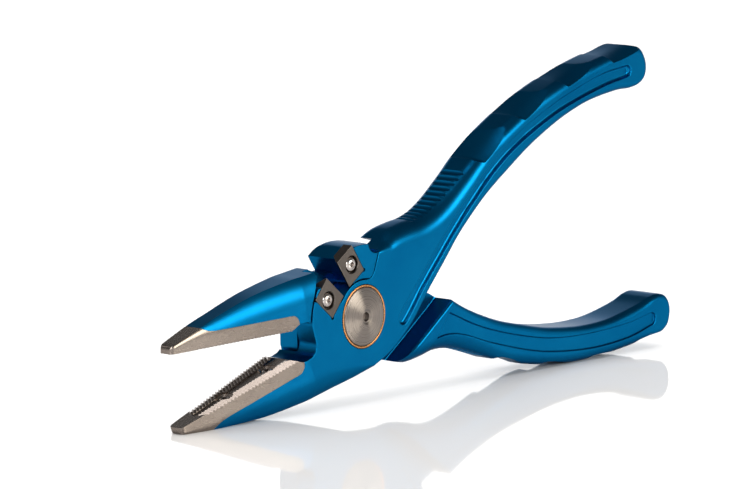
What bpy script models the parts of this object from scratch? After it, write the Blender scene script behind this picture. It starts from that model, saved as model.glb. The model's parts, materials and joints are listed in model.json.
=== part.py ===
"""Fishing pliers with replaceable jaw inserts and cutters, standing open on their edge.

Each half is the same lapped lever, turned over to make the other one. A half is drawn in
its closed position, with the pivot at its origin, +X along the handles and +Z up. The jaw of
a half lies below the centre line and its handle above it. Millimetres, scaled once to metres.
"""

import math

import bmesh
import bpy
from mathutils import Matrix, Vector

MM = 0.001

# Driving dimensions (mm and degrees)
THICKNESS = 12.2            # overall thickness of the tool across the pivot and the handles
LAP_GAP = 0.3               # clearance between the two lapped plates
GAP = 0.3                   # clearance kept between touching pieces
OPENING = 16.0              # angle from fully open to closed
CENTRE_TILT = 10.33         # tilt of the tool's centre line as it stands on its edge
PIVOT_X = -31.9             # pivot position above the standing surface
PIVOT_Z = 22.73

JAW_TIP_X = -66.2           # tip of the jaws, from the pivot
JAW_TIP_THICKNESS = 4.4     # thickness across the tip of the jaws
TAPER_START_X = -22.0       # the jaws taper in thickness from here to the tip
GRIP_OFFSET = 0.2           # half of the gap between the closed jaws
SEAT_Z = -4.1               # seat of the steel insert in the aluminium jaw
PLATE_RADIUS = 19.4         # outer radius of the lap plate round the pivot
JAW_ROOT_RADIUS = 20.1      # radius of the jaw root that the other plate turns inside

HEAD_RADIUS = 7.5           # pivot bolt and pivot nut
BUSHING_RADIUS = 8.4
BARREL_RADIUS = 4.0
SPRING_PIN = (-6.7, -1.2)   # where each half's spring pin stands, beside the spring
CUTTER_LINE = 122.7         # direction of the cutting line from the pivot
CUTTER_LENGTH = 8.2
CUTTER_WIDTH = 6.8
CUTTER_DEPTH = 2.8
CUTTER_INNER = 9.9          # distance from the pivot to the inner end of a cutter
CUTTER_SCREW_RADIAL = 14.0
CUTTER_SCREW_SIDE = 4.1
JAW_SCREW_X = (-48.0, -31.7)
NOTCH_WALL = 51.6           # angle of the stop wall in the front plate
LUG_WALL = 68.6             # angle of the lug's wall that meets it when fully open
SCALLOP_X = (54.5, 74.0, 94.5, 114.5)
SCALLOP_LENGTH = 14.0
SCALLOP_RADIUS = 15.0
RIB_COUNT = 11
RIB_PITCH = 2.0
RIB_START_X = 29.0

HALF = THICKNESS / 2
LAP = LAP_GAP / 2


def clear_scene():
    for obj in list(bpy.data.objects):
        bpy.data.objects.remove(obj, do_unlink=True)


def new_collection(name):
    collection = bpy.data.collections.new(name)
    bpy.context.scene.collection.children.link(collection)
    return collection


def material(name, colour, metallic, roughness):
    mat = bpy.data.materials.new(name)
    mat.use_nodes = True
    shader = mat.node_tree.nodes["Principled BSDF"]
    shader.inputs["Base Color"].default_value = (*colour, 1.0)
    shader.inputs["Metallic"].default_value = metallic
    shader.inputs["Roughness"].default_value = roughness
    return mat


# Outlines: lists of (x, z) in mm

def smooth(points, steps=2):
    """Catmull-Rom curve through the points, ends included."""
    pts = [Vector(p) for p in points]
    ends = [2 * pts[0] - pts[1]] + pts + [2 * pts[-1] - pts[-2]]
    curve = []
    for i in range(1, len(pts)):
        p0, p1, p2, p3 = ends[i - 1:i + 3]
        for k in range(steps):
            t = k / steps
            curve.append(0.5 * (2 * p1 + (p2 - p0) * t + (2 * p0 - 5 * p1 + 4 * p2 - p3) * t * t
                                + (3 * p1 - p0 - 3 * p2 + p3) * t ** 3))
    curve.append(pts[-1])
    return [tuple(p) for p in curve]


def arc(centre, radius, start, end, steps):
    points = []
    for k in range(steps + 1):
        a = math.radians(start + (end - start) * k / steps)
        points.append((centre[0] + radius * math.cos(a), centre[1] + radius * math.sin(a)))
    return points


def on_cutting_line(radial, side):
    """A point by its distance along the cutting line and to the left of it."""
    a = math.radians(CUTTER_LINE)
    return (radial * math.cos(a) - side * math.sin(a), radial * math.sin(a) + side * math.cos(a))


HANDLE_OUTER = [(14.7, 14.4), (19, 15.4), (24.5, 15.0), (29.5, 14.2), (35, 14.3), (41, 15.6),
                (49, 18.2), (55, 20.3), (63, 22.6), (74, 24.8), (86, 26.2), (98, 26.5),
                (110, 25.9), (120, 24.8)]
HANDLE_BUTT = [(120, 24.8), (125.2, 24.1), (128.4, 22.2), (129.5, 19.0), (128.6, 15.6),
               (125.8, 13.6), (122, 13.3)]
HANDLE_INNER = [(122, 13.3), (115.5, 14.7), (105, 16.4), (97, 16.8), (88, 16.4), (76, 14.8),
                (64.7, 12.2), (56, 9.9), (48.2, 7.1), (41, 4.0), (34.3, 0.4), (25, -4.6),
                (17, -9.4), (10, -12.2), (5, -13.4), (0, -14.0)]
JAW_OUTER = [(0, -14.0), (-7, -14.1), (-14, -13.8), (-26, -12.7), (-38, -10.6), (-50, -7.3),
             (-56.8, -5.2)]


def lever_outline():
    """The whole half: jaw root, lap plate and handle, without its steel insert."""
    seat = smooth([(-56.8, -5.2), (-54.4, -4.4), (-52, SEAT_Z - 0.02), (-49, SEAT_Z)], 1)
    seat_end = arc((-26.4, SEAT_Z + 2.35), 2.35, -90, 0, 3)
    throat = [(-23.2, -1.75)] + arc((-21.6, 1.4), 3.1, -90, 0, 4)
    top = arc((0, 0), PLATE_RADIUS, 163, 135, 5) + smooth([(-9, 14.0), (0, 14.0), (8, 13.7),
                                                           (12.4, 13.9)], 1)
    rim = smooth(HANDLE_OUTER)[:-1] + smooth(HANDLE_BUTT)[:-1] + smooth(HANDLE_INNER)[:-1]
    return seat + seat_end + throat + top + rim + smooth(JAW_OUTER, 1)[:-1]


# Solids

def link(mesh, name, collection):
    obj = bpy.data.objects.new(name, mesh)
    collection.objects.link(obj)
    return obj


def finish_mesh(bm, name, collection):
    bmesh.ops.recalc_face_normals(bm, faces=bm.faces)
    mesh = bpy.data.meshes.new(name)
    bm.to_mesh(mesh)
    bm.free()
    return link(mesh, name, collection)


def plate(name, outline, y0, y1, collection):
    """Flat solid from a filled outline in XZ, between y0 and y1."""
    curve = bpy.data.curves.new(name, "CURVE")
    curve.dimensions = "2D"
    curve.fill_mode = "BOTH"
    curve.extrude = (y1 - y0) / 2
    spline = curve.splines.new("POLY")
    spline.points.add(len(outline) - 1)
    for point, (x, z) in zip(spline.points, outline):
        point.co = (x, z, 0, 1)
    spline.use_cyclic_u = True
    flat = link(curve, name + "_curve", collection)
    bpy.context.view_layer.update()
    evaluated = flat.evaluated_get(bpy.context.evaluated_depsgraph_get())
    mesh = bpy.data.meshes.new_from_object(evaluated)
    bpy.data.objects.remove(flat, do_unlink=True)
    bm = bmesh.new()
    bm.from_mesh(mesh)
    bmesh.ops.remove_doubles(bm, verts=bm.verts, dist=0.001)
    stand = Matrix.Translation((0, (y0 + y1) / 2, 0)) @ Matrix.Rotation(math.pi / 2, 4, "X")
    bm.transform(stand)
    bm.normal_update()
    for way in (-1, 1):
        caps = [f for f in bm.faces if f.normal.y * way > 0.99]
        bmesh.ops.dissolve_faces(bm, faces=caps)
    return finish_mesh(bm, name, collection)


def cylinder(name, radius, y0, y1, collection, at=(0, 0), sides=32, top_radius=None):
    """Round solid along Y between y0 and y1, centred on (x, z)."""
    bm = bmesh.new()
    far = radius if top_radius is None else top_radius
    bmesh.ops.create_cone(bm, cap_ends=True, segments=sides, radius1=radius, radius2=far,
                          depth=y1 - y0)
    bm.transform(Matrix.Translation((at[0], (y0 + y1) / 2, at[1]))
                 @ Matrix.Rotation(-math.pi / 2, 4, "X"))
    return finish_mesh(bm, name, collection)


def turned(name, profile, collection, steps=32, at=(0, 0)):
    """Solid turned round the Y axis from (radius, y) points, run from high y to low y."""
    mesh = bpy.data.meshes.new(name)
    verts = [(r, 0, y) for r, y in profile]
    closed = profile[0][0] > 0
    edges = [(i, i + 1) for i in range(len(verts) - 1)]
    if closed:
        edges.append((len(verts) - 1, 0))
    mesh.from_pydata(verts, edges, [])
    obj = link(mesh, name, collection)
    screw = obj.modifiers.new("Turn", "SCREW")
    screw.axis = "Z"
    screw.steps = steps
    screw.render_steps = steps
    screw.use_merge_vertices = True
    screw.merge_threshold = 0.0001
    apply_modifiers(obj)
    lay = Matrix.Translation((at[0], 0, at[1])) @ Matrix.Rotation(-math.pi / 2, 4, "X")
    obj.data.transform(lay)
    return obj


def apply_modifiers(obj):
    bpy.context.view_layer.update()
    evaluated = obj.evaluated_get(bpy.context.evaluated_depsgraph_get())
    mesh = bpy.data.meshes.new_from_object(evaluated)
    obj.modifiers.clear()
    obj.data = mesh


def combine(obj, tool, operation):
    """Boolean with a tool that is used up."""
    cut = obj.modifiers.new(operation.title(), "BOOLEAN")
    cut.operation = operation
    cut.solver = "EXACT"
    cut.object = tool
    apply_modifiers(obj)
    bpy.data.objects.remove(tool, do_unlink=True)


def bevel_rim(obj, width, keep):
    """Bevel the rim edges of a flat solid where keep(x, z) is true."""
    bm = bmesh.new()
    bm.from_mesh(obj.data)
    rim = []
    for edge in bm.edges:
        caps = [abs(f.normal.y) > 0.9 for f in edge.link_faces]
        middle = (edge.verts[0].co + edge.verts[1].co) / 2
        if len(caps) == 2 and caps[0] != caps[1] and keep(middle.x, middle.z):
            rim.append(edge)
    bmesh.ops.bevel(bm, geom=rim, offset=width, segments=2, affect="EDGES", profile=0.5)
    bm.to_mesh(obj.data)
    bm.free()


def taper_jaw(obj):
    """Thin the jaw evenly towards its tip."""
    bm = bmesh.new()
    bm.from_mesh(obj.data)
    bmesh.ops.bisect_plane(bm, geom=bm.verts[:] + bm.edges[:] + bm.faces[:],
                           plane_co=(TAPER_START_X, 0, 0), plane_no=(1, 0, 0))
    run = TAPER_START_X - JAW_TIP_X
    for vert in bm.verts:
        along = max(0.0, TAPER_START_X - vert.co.x) / run
        vert.co.y *= 1 - along * (1 - JAW_TIP_THICKNESS / THICKNESS)
    bm.to_mesh(obj.data)
    bm.free()


# The lever that both halves share

def loft(name, sections, collection):
    """Closed solid through sections of equally many points, given as lists of (x, y, z)."""
    bm = bmesh.new()
    rings = [[bm.verts.new(co) for co in section] for section in sections]
    count = len(rings[0])
    for ring, following in zip(rings, rings[1:]):
        for i in range(count):
            j = (i + 1) % count
            bm.faces.new((ring[i], ring[j], following[j], following[i]))
    bm.faces.new(rings[0])
    bm.faces.new(rings[-1][::-1])
    bmesh.ops.triangulate(bm, faces=bm.faces)
    return finish_mesh(bm, name, collection)


def flank_cutter(side, collection):
    """Sloping cut along the outer flank of the jaw, on the face at side * HALF."""
    sections = []
    for x, top_y, top_z, edge_y, edge_z in ((-13, 6.3, -10.0, 6.2, -14.2),
                                            (-22, 6.15, -8.4, 4.3, -13.3),
                                            (-60, 2.75, -3.9, 1.9, -4.6)):
        drop = edge_z - top_z
        sections.append([(x, side * top_y, top_z), (x, side * edge_y, edge_z),
                         (x, side * (2 * edge_y - top_y), edge_z + drop),
                         (x, side * 12, edge_z + drop), (x, side * 12, top_z)])
    return loft("flank", sections, collection)


def lap_outline():
    """The room cut in one half for the other half's plate."""
    root = arc((0, 0), JAW_ROOT_RADIUS, 150, 219, 10) + [(-16.0, -13.1), (-16.9, -13.5), (-17.6, -15)]
    step = smooth([(38, -0.8), (27, 6.6), (18.5, 12.2), (11.8, 16.5)], 2)
    return root + [(-6, -30), (45, -30), (45, -6)] + step + [(8, 26), (-14, 26)]


def lever(name, collection):
    body = plate(name, lever_outline(), -HALF, HALF, collection)
    bevel_rim(body, 1.6, lambda x, z: x > 16 and z > -3)
    taper_jaw(body)
    for side in (-1, 1):
        combine(body, flank_cutter(side, collection), "DIFFERENCE")
    combine(body, plate("lap", lap_outline(), -LAP, HALF + 2, collection), "DIFFERENCE")
    for start in SCALLOP_X:
        combine(body, scallop(start, collection), "DIFFERENCE")
    for k in range(RIB_COUNT):
        combine(body, rib_groove(RIB_START_X + k * RIB_PITCH, collection), "DIFFERENCE")
    combine(body, plate("channel", channel_outline(), -HALF - 1, -HALF + 0.7, collection),
            "DIFFERENCE")
    cut_pivot_seat(body, collection)
    for x in JAW_SCREW_X:
        hole = upright("screw_hole", 1.2, -7.4 if x < -40 else -9.4, 0, x, collection)
        combine(body, hole, "DIFFERENCE")
    return body


def outer_z(x):
    """Height of the handle's outer edge at x."""
    for (x0, z0), (x1, z1) in zip(HANDLE_OUTER, HANDLE_OUTER[1:]):
        if x0 <= x <= x1:
            return z0 + (z1 - z0) * (x - x0) / (x1 - x0)
    return HANDLE_OUTER[-1][1]


def scallop(start, collection):
    """Finger scallop: a cylinder across the outer edge that begins at x = start."""
    end = start + SCALLOP_LENGTH
    a = Vector((start, outer_z(start)))
    b = Vector((end, outer_z(end)))
    chord = b - a
    normal = Vector((-chord.y, chord.x)).normalized()
    rise = math.sqrt(SCALLOP_RADIUS ** 2 - (chord.length / 2) ** 2)
    centre = (a + b) / 2 + normal * rise
    return cylinder("scallop", SCALLOP_RADIUS, -8, 8, collection, at=tuple(centre), sides=72)


def rib_groove(x, collection):
    slope = math.atan2(outer_z(x + 1) - outer_z(x - 1), 2)
    centre = (x - 0.25 * math.sin(slope), outer_z(x) + 0.25 * math.cos(slope))
    return cylinder("rib", 0.75, -8, 8, collection, at=centre, sides=8)


def channel_outline():
    """Shallow channel down the handle's face, from beside the pivot to the butt."""
    outer = smooth([(15.6, -6.1), (31.6, 4.2), (43.5, 10.4), (58, 15.8), (74, 20.0), (92, 22.4),
                    (110, 22.0), (120, 20.2)], 1)
    inner = smooth([(120.2, 17.2), (110, 18.7), (92, 19.4), (76, 17.6), (62, 14.2), (46, 8.6),
                    (33, 1.4), (17.2, -8.4)], 1)
    return outer + arc((120.2, 18.7), 1.5, 45, -45, 2) + inner + arc((16.2, -7.3), 1.3, 270, 180, 2)


def cut_pivot_seat(body, collection):
    """Bore, bushing seat, spring room and seal groove, all from the plate's two faces."""
    combine(body, cylinder("bore", 5.0 + GAP, -8, 8, collection), "DIFFERENCE")
    seat = cylinder("seat", BUSHING_RADIUS + 0.15, -8, -HALF + 2.0, collection, sides=48)
    combine(body, seat, "DIFFERENCE")
    combine(body, cylinder("spring_room", 7.4, -2.6, 1, collection), "DIFFERENCE")
    pin_hole = cylinder("pin_hole", 0.6, -3.95, 1, collection, at=SPRING_PIN, sides=12)
    combine(body, pin_hole, "DIFFERENCE")
    ring = [(8.95, 1), (8.95, -0.85), (7.85, -0.85), (7.85, 1)]
    combine(body, turned("seal_groove", ring, collection), "DIFFERENCE")


def upright(name, radius, z0, z1, x, collection, sides=16, top_radius=None):
    """Round solid along Z at x on the jaw's middle plane."""
    bm = bmesh.new()
    far = radius if top_radius is None else top_radius
    bmesh.ops.create_cone(bm, cap_ends=True, segments=sides, radius1=radius, radius2=far,
                          depth=z1 - z0)
    bm.transform(Matrix.Translation((x, 0, (z0 + z1) / 2)))
    return finish_mesh(bm, name, collection)


def turn_over(obj):
    """The rear half is the front half turned over about its length."""
    obj.data.transform(Matrix.Rotation(math.pi, 4, "X"))
    return obj


# The two halves' own features

def polar(radius, angle):
    return (radius * math.cos(math.radians(angle)), radius * math.sin(math.radians(angle)))


def notch_outline():
    """Room in the front plate for the rear half's cutter lug."""
    inner = arc((0, 0), 9.45, 115, 60, 8)
    right = [polar(10.1, 53.5), polar(11.0, NOTCH_WALL), polar(17.5, NOTCH_WALL), (10, 30)]
    return inner + right + [on_cutting_line(30, 1.9), on_cutting_line(9.4, 1.9)]


def lug_outline():
    """Cutter lug of the rear half, in its closed position."""
    inner = arc((0, 0), 9.75, 79, 112, 5)
    left = [on_cutting_line(9.9, -2.1), on_cutting_line(17.1, -2.1), (-4.4, 18.0)]
    crown = arc((0, 0), 18.6, 99, 72, 4)
    right = [polar(16.9, LUG_WALL), polar(11.6, LUG_WALL)]
    return inner + left + crown + right


def relief_outline():
    """Opening between the rear half's jaw and its lug, for the wire being cut."""
    edge = [(-14.6, 13.9), (-12.6, 13.0), (-10.5, 12.25), (-9.7, 11.7), (-7.9, 11.3)]
    return edge + [on_cutting_line(12.2, -2.2), on_cutting_line(19, -2.2), (-14.6, 19)]


def cutter_outline(side, grow=0.0):
    """A cutter's rectangle: side 1 is left of the cutting line, side -1 is right of it."""
    near = LAP if grow == 0 else -4
    corners = [(CUTTER_INNER - grow, near), (CUTTER_INNER + CUTTER_LENGTH + grow, near),
               (CUTTER_INNER + CUTTER_LENGTH + grow, CUTTER_WIDTH + grow),
               (CUTTER_INNER - grow, CUTTER_WIDTH + grow)]
    return [on_cutting_line(r, side * s) for r, s in corners]


def cutter_pocket(body, side, collection):
    pocket = plate("pocket", cutter_outline(side, 0.25), -9, -HALF + CUTTER_DEPTH + GAP, collection)
    combine(body, pocket, "DIFFERENCE")
    centre = on_cutting_line(CUTTER_SCREW_RADIAL, side * CUTTER_SCREW_SIDE)
    bottom = -0.9 if side > 0 else 4.5
    hole = cylinder("tapped", 1.15, -9, bottom, collection, at=centre, sides=16)
    combine(body, hole, "DIFFERENCE")


def front_frame(collection):
    body = lever("front_frame", collection)
    notch = plate("notch", notch_outline(), -9, 2, collection)
    combine(body, notch, "DIFFERENCE")
    cutter_pocket(body, 1, collection)
    return body


def rear_frame(collection):
    body = turn_over(lever("rear_frame", collection))
    combine(body, plate("lug", lug_outline(), -HALF, HALF - 0.1, collection), "UNION")
    combine(body, plate("relief", relief_outline(), -9, 9, collection), "DIFFERENCE")
    cutter_pocket(body, -1, collection)
    return body


def cutter(name, side, collection):
    """Carbide cutter: flat plate with its cutting side ground back at 45 degrees."""
    body = plate(name, cutter_outline(side), -HALF, -HALF + CUTTER_DEPTH, collection)
    centre = on_cutting_line(CUTTER_SCREW_RADIAL, side * CUTTER_SCREW_SIDE)
    combine(body, cylinder("hole", 1.4, -9, 9, collection, at=centre, sides=24), "DIFFERENCE")
    combine(body, cylinder("sink", 2.35, -9, -HALF + 1.4, collection, at=centre, sides=24),
            "DIFFERENCE")
    ends = []
    for radial in (CUTTER_INNER - 2, CUTTER_INNER + CUTTER_LENGTH + 2):
        section = []
        for depth, across in ((0.4, -0.4), (3.2, -0.4), (3.2, 2.4), (0.4, -0.2)):
            x, z = on_cutting_line(radial, side * (LAP + across))
            section.append((x, -HALF + depth, z))
        ends.append(section)
    combine(body, loft("grind", ends, collection), "DIFFERENCE")
    return body


def cutter_screw(name, side, collection):
    """Button-head screw that holds a cutter, with a hexagon socket."""
    centre = on_cutting_line(CUTTER_SCREW_RADIAL, side * CUTTER_SCREW_SIDE)
    head = -HALF + 1.1
    length = -1.1 if side > 0 else 1.5
    profile = [(0, length), (0.85, length), (0.85, head), (2.0, head), (2.0, head - 0.5),
               (1.6, head - 1.1), (0.9, head - 1.45), (0, head - 1.5)]
    body = turned(name, profile, collection, steps=20, at=centre)
    socket = cylinder("socket", 0.75, -9, head - 0.5, collection, at=centre, sides=6)
    combine(body, socket, "DIFFERENCE")
    return body


# Jaw inserts, drawn for the front half

def insert_outline():
    tip = [(JAW_TIP_X, -GRIP_OFFSET), (JAW_TIP_X - 0.2, -1.2), (-65.6, -2.2)]
    nose = [(-57.2, -4.9), (-54.6, -4.0), (-52, SEAT_Z + GAP)]
    back = arc((-26.4, SEAT_Z + 2.35), 2.05, -90, 0, 3)
    grip = [(-24.3, -1.5), (-26.4, -0.6), (-59.5, -0.55), (-60.0, -GRIP_OFFSET)]
    return tip + nose + back + grip


def jaw_insert(name, collection):
    body = plate(name, insert_outline(), -HALF, HALF, collection)
    taper_jaw(body)
    for x in JAW_SCREW_X:
        combine(body, upright("hole", 1.4, -8, 2, x, collection, sides=20), "DIFFERENCE")
        sink = upright("sink", 2.0, -2.4, 2, x, collection, sides=20)
        combine(body, sink, "DIFFERENCE")
    return body


def jaw_screw(name, x, collection):
    """Low-head screw that holds an insert to its jaw."""
    profile = [(0, -0.95), (1.1, -1.05), (1.65, -1.5), (1.65, -2.1), (0.85, -2.1), (0.85, -6.2),
               (0, -6.2)]
    mesh = bpy.data.meshes.new(name)
    verts = [(r, 0, z) for r, z in profile]
    mesh.from_pydata(verts, [(i, i + 1) for i in range(len(verts) - 1)], [])
    body = link(mesh, name, collection)
    screw = body.modifiers.new("Turn", "SCREW")
    screw.axis = "Z"
    screw.steps = 16
    screw.render_steps = 16
    screw.use_merge_vertices = True
    screw.merge_threshold = 0.0001
    apply_modifiers(body)
    body.data.transform(Matrix.Translation((x, 0, 0)))
    combine(body, upright("socket", 0.7, -1.7, 2, x, collection, sides=6), "DIFFERENCE")
    return body


# Pivot

def pivot_bolt(collection):
    """Domed disc head with a hexagon socket, and a stud that screws into the nut's barrel."""
    face = -HALF - 0.1
    profile = [(0, 4.2), (2.5, 4.2), (2.5, face + 0.95), (HEAD_RADIUS, face + 0.95),
               (HEAD_RADIUS, face), (2.4, face - 0.9), (2.0, face - 1.0), (0, face - 1.0)]
    body = turned("pivot_bolt", profile, collection, steps=40)
    combine(body, cylinder("socket", 1.35, -10, face + 0.5, collection, sides=6), "DIFFERENCE")
    return body


def pivot_nut(collection):
    """Disc with a threaded barrel that both halves turn on."""
    face = HALF + 0.1
    profile = [(0, face + 0.5), (2.0, face + 0.5), (HEAD_RADIUS, face), (HEAD_RADIUS, face - 0.95),
               (BARREL_RADIUS, face - 0.95), (BARREL_RADIUS, -4.9), (2.8, -4.9), (2.8, 4.6),
               (0, 4.6)]
    body = turned("pivot_nut", profile, collection, steps=40)
    combine(body, cylinder("socket", 1.35, face - 0.3, 10, collection, sides=6), "DIFFERENCE")
    return body


def bushing(name, collection):
    """Bronze cup bushing: rim round the bolt head, floor under it and sleeve in the bore."""
    floor = -HALF + 1.9
    profile = [(5.0, -2.9), (5.0, floor), (BUSHING_RADIUS, floor), (BUSHING_RADIUS, -HALF - 0.15),
               (HEAD_RADIUS + 0.25, -HALF - 0.15), (HEAD_RADIUS + 0.25, floor - 0.65),
               (BARREL_RADIUS + GAP, floor - 0.65), (BARREL_RADIUS + GAP, -2.9)]
    return turned(name, profile, collection, steps=36)


def spring_spacer(collection):
    profile = [(5.1, 2.4), (5.1, -2.4), (BARREL_RADIUS + GAP, -2.4), (BARREL_RADIUS + GAP, 2.4)]
    return turned("spring_spacer", profile, collection, steps=32)


def spring_pin(name, collection):
    """Dowel pin that one end of the spring bears on."""
    return cylinder(name, 0.4, -3.8, -1.0, collection, at=SPRING_PIN, sides=12)


def pivot_seal(collection):
    """Seal ring between the two plates, in a groove of each."""
    profile = [(8.4 + 0.4 * math.sin(math.radians(a)), 0.4 * math.cos(math.radians(a)))
               for a in range(0, 360, 60)]
    return turned("pivot_seal", profile, collection, steps=32)


def return_spring(collection):
    """Torsion spring that opens the jaws: an even coil round the spacer, with two short legs."""
    turns = 3.0
    pitch = 1.25
    mean = 5.85
    curve = bpy.data.curves.new("return_spring", "CURVE")
    curve.dimensions = "3D"
    curve.bevel_depth = 0.4
    curve.bevel_resolution = 1
    curve.use_fill_caps = True
    count = int(turns * 16)
    points = []
    for k in range(count + 1):
        a = 2 * math.pi * k / 16
        points.append((mean * math.cos(a), (k / 16 - turns / 2) * pitch, mean * math.sin(a)))
    spline = curve.splines.new("POLY")
    spline.points.add(len(points) - 1)
    for point, co in zip(spline.points, points):
        point.co = (*co, 1)
    wire = link(curve, "spring_curve", collection)
    bpy.context.view_layer.update()
    evaluated = wire.evaluated_get(bpy.context.evaluated_depsgraph_get())
    mesh = bpy.data.meshes.new_from_object(evaluated)
    bpy.data.objects.remove(wire, do_unlink=True)
    bm = bmesh.new()
    bm.from_mesh(mesh)
    bmesh.ops.remove_doubles(bm, verts=bm.verts, dist=0.001)
    return finish_mesh(bm, "return_spring", collection)


# Assembly

def rest_empty(name, angle, collection):
    """Parent of one half, on the joint's axis, turned to the half's rest angle."""
    empty = bpy.data.objects.new(name, None)
    empty.location = (PIVOT_X * MM, 0, PIVOT_Z * MM)
    empty.rotation_euler = (0, -math.radians(angle), 0)
    collection.objects.link(empty)
    return empty


def place(obj, parent, mat):
    obj.data.transform(Matrix.Scale(MM, 4))
    obj.parent = parent
    obj.data.materials.clear()
    obj.data.materials.append(mat)
    obj.data.shade_smooth()
    obj.data.set_sharp_from_angle(angle=math.radians(32))


def main():
    clear_scene()
    parts = new_collection("fishing_pliers")
    front = rest_empty("front_half", CENTRE_TILT + OPENING / 2, parts)
    rear = rest_empty("rear_half", CENTRE_TILT - OPENING / 2, parts)

    blue = material("blue_anodised_aluminium", (0.002, 0.15, 0.35), 1.0, 0.3)
    steel = material("satin_stainless_steel", (0.55, 0.52, 0.49), 1.0, 0.3)
    carbide = material("ground_carbide", (0.2, 0.18, 0.16), 1.0, 0.4)
    polished = material("polished_screw_steel", (0.75, 0.72, 0.7), 1.0, 0.12)
    bronze = material("bronze", (0.6, 0.28, 0.1), 1.0, 0.3)
    spring_steel = material("spring_steel", (0.35, 0.35, 0.36), 1.0, 0.3)
    rubber = material("seal_rubber", (0.02, 0.02, 0.02), 0.0, 0.7)

    place(front_frame(parts), front, blue)
    place(rear_frame(parts), rear, blue)

    place(jaw_insert("lower_jaw_insert", parts), front, steel)
    place(turn_over(jaw_insert("upper_jaw_insert", parts)), rear, steel)
    for x, spot in zip(JAW_SCREW_X, ("tip", "root")):
        place(jaw_screw("lower_jaw_screw_" + spot, x, parts), front, polished)
        place(turn_over(jaw_screw("upper_jaw_screw_" + spot, x, parts)), rear, polished)

    place(cutter("front_cutter", 1, parts), front, carbide)
    place(cutter("rear_cutter", -1, parts), rear, carbide)
    place(cutter_screw("front_cutter_screw", 1, parts), front, polished)
    place(cutter_screw("rear_cutter_screw", -1, parts), rear, polished)

    place(pivot_bolt(parts), front, steel)
    place(pivot_nut(parts), front, steel)
    place(bushing("front_bushing", parts), front, bronze)
    place(turn_over(bushing("rear_bushing", parts)), rear, bronze)
    place(spring_spacer(parts), front, bronze)
    place(pivot_seal(parts), front, rubber)
    place(spring_pin("front_spring_pin", parts), front, polished)
    place(turn_over(spring_pin("rear_spring_pin", parts)), rear, polished)
    place(return_spring(parts), front, spring_steel)


main()
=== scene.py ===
"""Fishing pliers with lapped anodised levers, steel jaw inserts and carbide side cutters.

Each half is modelled in its closed position, in mm, with the pivot at its origin, +X along the
handles and +Z up. A lever's jaw lies below the centre line and its handle above it, and the
rear half is the same lever turned over. Every piece is then set at its rest angle, in metres.
"""

import json
import math

import bmesh
import bpy
from mathutils import Matrix, Vector


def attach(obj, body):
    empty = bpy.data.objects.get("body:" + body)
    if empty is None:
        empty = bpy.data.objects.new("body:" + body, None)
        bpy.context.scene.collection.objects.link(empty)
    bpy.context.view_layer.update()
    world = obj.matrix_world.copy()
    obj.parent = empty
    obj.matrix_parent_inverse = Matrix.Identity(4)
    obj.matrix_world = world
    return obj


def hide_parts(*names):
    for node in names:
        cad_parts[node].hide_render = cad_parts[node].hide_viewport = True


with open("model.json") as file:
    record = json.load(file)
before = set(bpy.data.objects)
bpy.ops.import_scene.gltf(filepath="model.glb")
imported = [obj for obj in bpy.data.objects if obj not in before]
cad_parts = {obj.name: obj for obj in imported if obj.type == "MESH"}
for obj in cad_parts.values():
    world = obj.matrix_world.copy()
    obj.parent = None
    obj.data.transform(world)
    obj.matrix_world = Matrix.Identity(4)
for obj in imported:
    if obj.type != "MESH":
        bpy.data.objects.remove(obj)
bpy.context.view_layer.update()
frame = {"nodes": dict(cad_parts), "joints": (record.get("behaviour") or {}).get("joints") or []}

PIVOT = Vector(frame["joints"][0]["pos_m"])
MM = 0.001
REST_ANGLE = {"front": 18.33, "rear": 2.33}     # turn about the pivot at rest, in degrees

HALF = 6.1                  # half of the tool's thickness
LAP = 0.15                  # each plate stops this far from the middle plane
TIP_X = -66.2
TIP_THICKNESS = 4.4
TAPER_START = -22.0
PLATE_RADIUS = 19.4
ROOT_RADIUS = 20.1
HEAD_RADIUS = 7.5           # the two discs of the pivot
BUSHING_RADIUS = 8.15       # the bronze ring round each disc
PIVOT_SOCKET = 1.33
SMALL_SOCKET = 0.72
CUTTING_LINE = 122.7        # direction of the cutting line from the pivot, in degrees
CUTTER_NEAR = 9.9           # the cutters' two ends along the cutting line
CUTTER_FAR = 18.1
CUTTER_GAP = 0.15           # from the cutting line to each cutter
CUTTER_WIDTH = 6.8
SEAT_Z = -4.1               # where the steel insert lies on the aluminium
GRIP_Z = -0.25              # grip face of the closed jaw
JAW_SCREW_X = (-48.0, -31.7)
SCALLOP_X = (54.5, 73.6, 93.6, 114.0)       # the ledges of the finger scallops
SCALLOP_RUN = 14.0
RIB_START = 28.0
RIB_PITCH = 1.95
RIB_COUNT = 12
TEETH_START = -59.6
TOOTH_PITCH = 1.15
TOOTH_COUNT = 28

EDGE_HIGHLIGHT_AND_WEAR_RADIUS = 0.00025       # metres from an edge that the painted edge highlight and wear reach
SHARP_ANGLE = 30            # smooth shading stops at sharper edges, in degrees
BACKDROP = 1.9              # brightness of the white sheet behind the tool

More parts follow.
